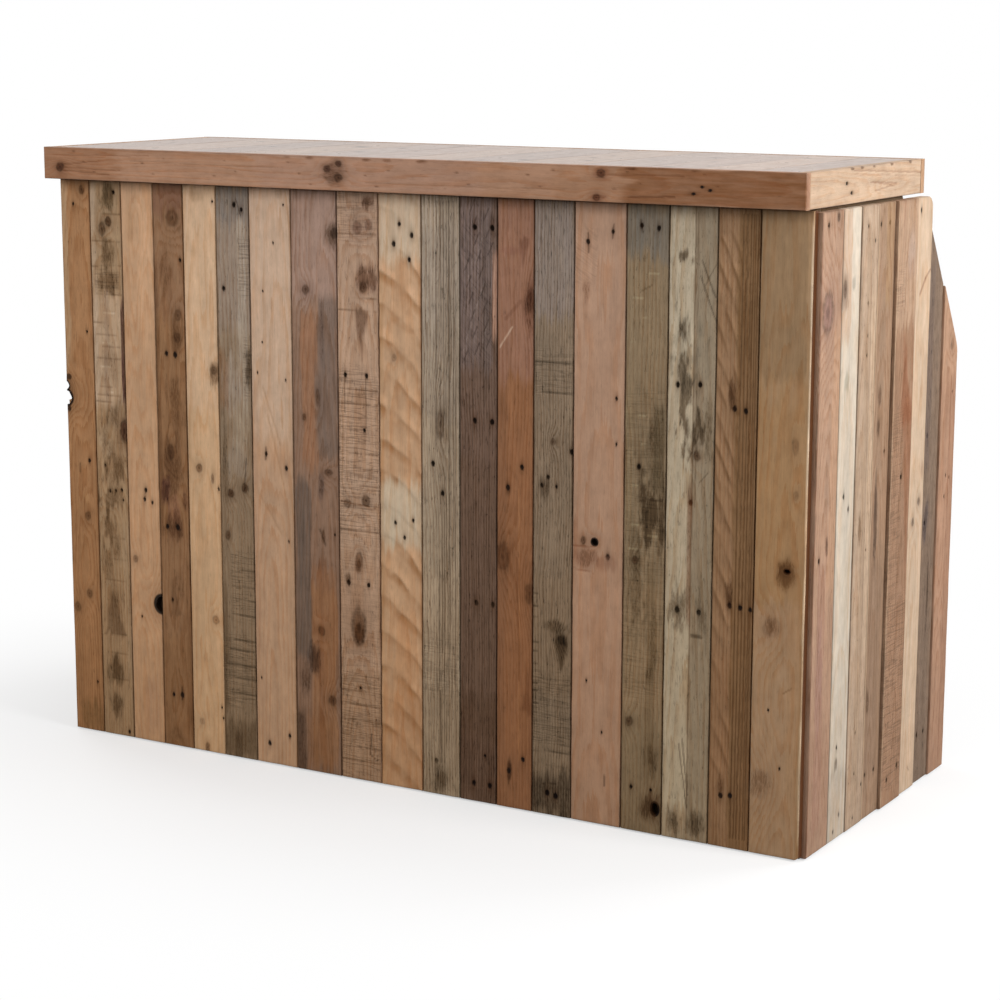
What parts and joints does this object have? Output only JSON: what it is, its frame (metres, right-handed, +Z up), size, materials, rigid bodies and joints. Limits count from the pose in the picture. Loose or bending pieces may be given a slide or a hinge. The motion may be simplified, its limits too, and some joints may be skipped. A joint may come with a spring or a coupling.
{
  "type": "bar counter",
  "caption": "Free-standing bar counter clad in reclaimed pallet boards, with a thick lipped top over the front, raked rear corners, a half-lapped timber frame and an open back with a shelf.",
  "frame": {"origin": "on the floor, at the centre of the counter's overall footprint", "axes": "+X along the counter to a customer's right, +Y from the plank front to the open service side, +Z up"},
  "size_m": [1.518, 0.66, 1.1],
  "materials": {
    "front_cladding": "reclaimed softwood pallet boards, sanded through old weathering and oiled, each board its own tone",
    "end_cladding": "reclaimed softwood pallet boards, sanded through old weathering and oiled, each board its own tone",
    "top_lipping": "planed reclaimed pine, satin clear coat",
    "top_boards": "sanded reclaimed pine, satin clear coat",
    "frame_timber": "sawn softwood, unfinished",
    "shelf_boards": "planed softwood boards, oiled",
    "frame_fixings": "zinc-plated steel"
  },
  "bodies": {
    "root": {"frame_bolts": "frame_fixings", "frame_nuts": "frame_fixings", "front_bottom_rail": "frame_timber", "front_middle_rail": "frame_timber", "front_plank_01": "front_cladding", "front_plank_02": "front_cladding", "front_plank_03": "front_cladding", "front_plank_04": "front_cladding", "front_plank_05": "front_cladding", "front_plank_06": "front_cladding", "front_plank_07": "front_cladding", "front_plank_08": "front_cladding", "front_plank_09": "front_cladding", "front_plank_10": "front_cladding", "front_plank_11": "front_cladding", "front_plank_12": "front_cladding", "front_plank_13": "front_cladding", "front_plank_14": "front_cladding", "front_plank_15": "front_cladding", "front_plank_16": "front_cladding", "front_plank_17": "front_cladding", "front_plank_18": "front_cladding", "front_plank_19": "front_cladding", "front_top_rail": "frame_timber", "left_corner_post": "frame_timber", "left_end_back_post": "frame_timber", "left_end_bottom_rail": "frame_timber", "left_end_middle_rail": "frame_timber", "left_end_plank_1": "end_cladding", "left_end_plank_2": "end_cladding", "left_end_plank_3": "end_cladding", "left_end_plank_4": "end_cladding", "left_end_plank_5": "end_cladding", "left_end_plank_6": "end_cladding", "left_end_plank_7": "end_cladding", "left_end_plank_8": "end_cladding", "left_end_rake_rail": "frame_timber", "left_end_top_rail": "frame_timber", "right_corner_post": "frame_timber", "right_end_back_post": "frame_timber", "right_end_bottom_rail": "frame_timber", "right_end_middle_rail": "frame_timber", "right_end_plank_1": "end_cladding", "right_end_plank_2": "end_cladding", "right_end_plank_3": "end_cladding", "right_end_plank_4": "end_cladding", "right_end_plank_5": "end_cladding", "right_end_plank_6": "end_cladding", "right_end_plank_7": "end_cladding", "right_end_plank_8": "end_cladding", "right_end_rake_rail": "frame_timber", "right_end_top_rail": "frame_timber", "shelf_back_rail": "frame_timber", "shelf_boards": "shelf_boards", "top_back_lipping": "top_lipping", "top_battens": "frame_timber", "top_boards": "top_boards", "top_front_lipping": "top_lipping", "top_left_lipping": "top_lipping", "top_right_lipping": "top_lipping"}
  },
  "joints": []
}
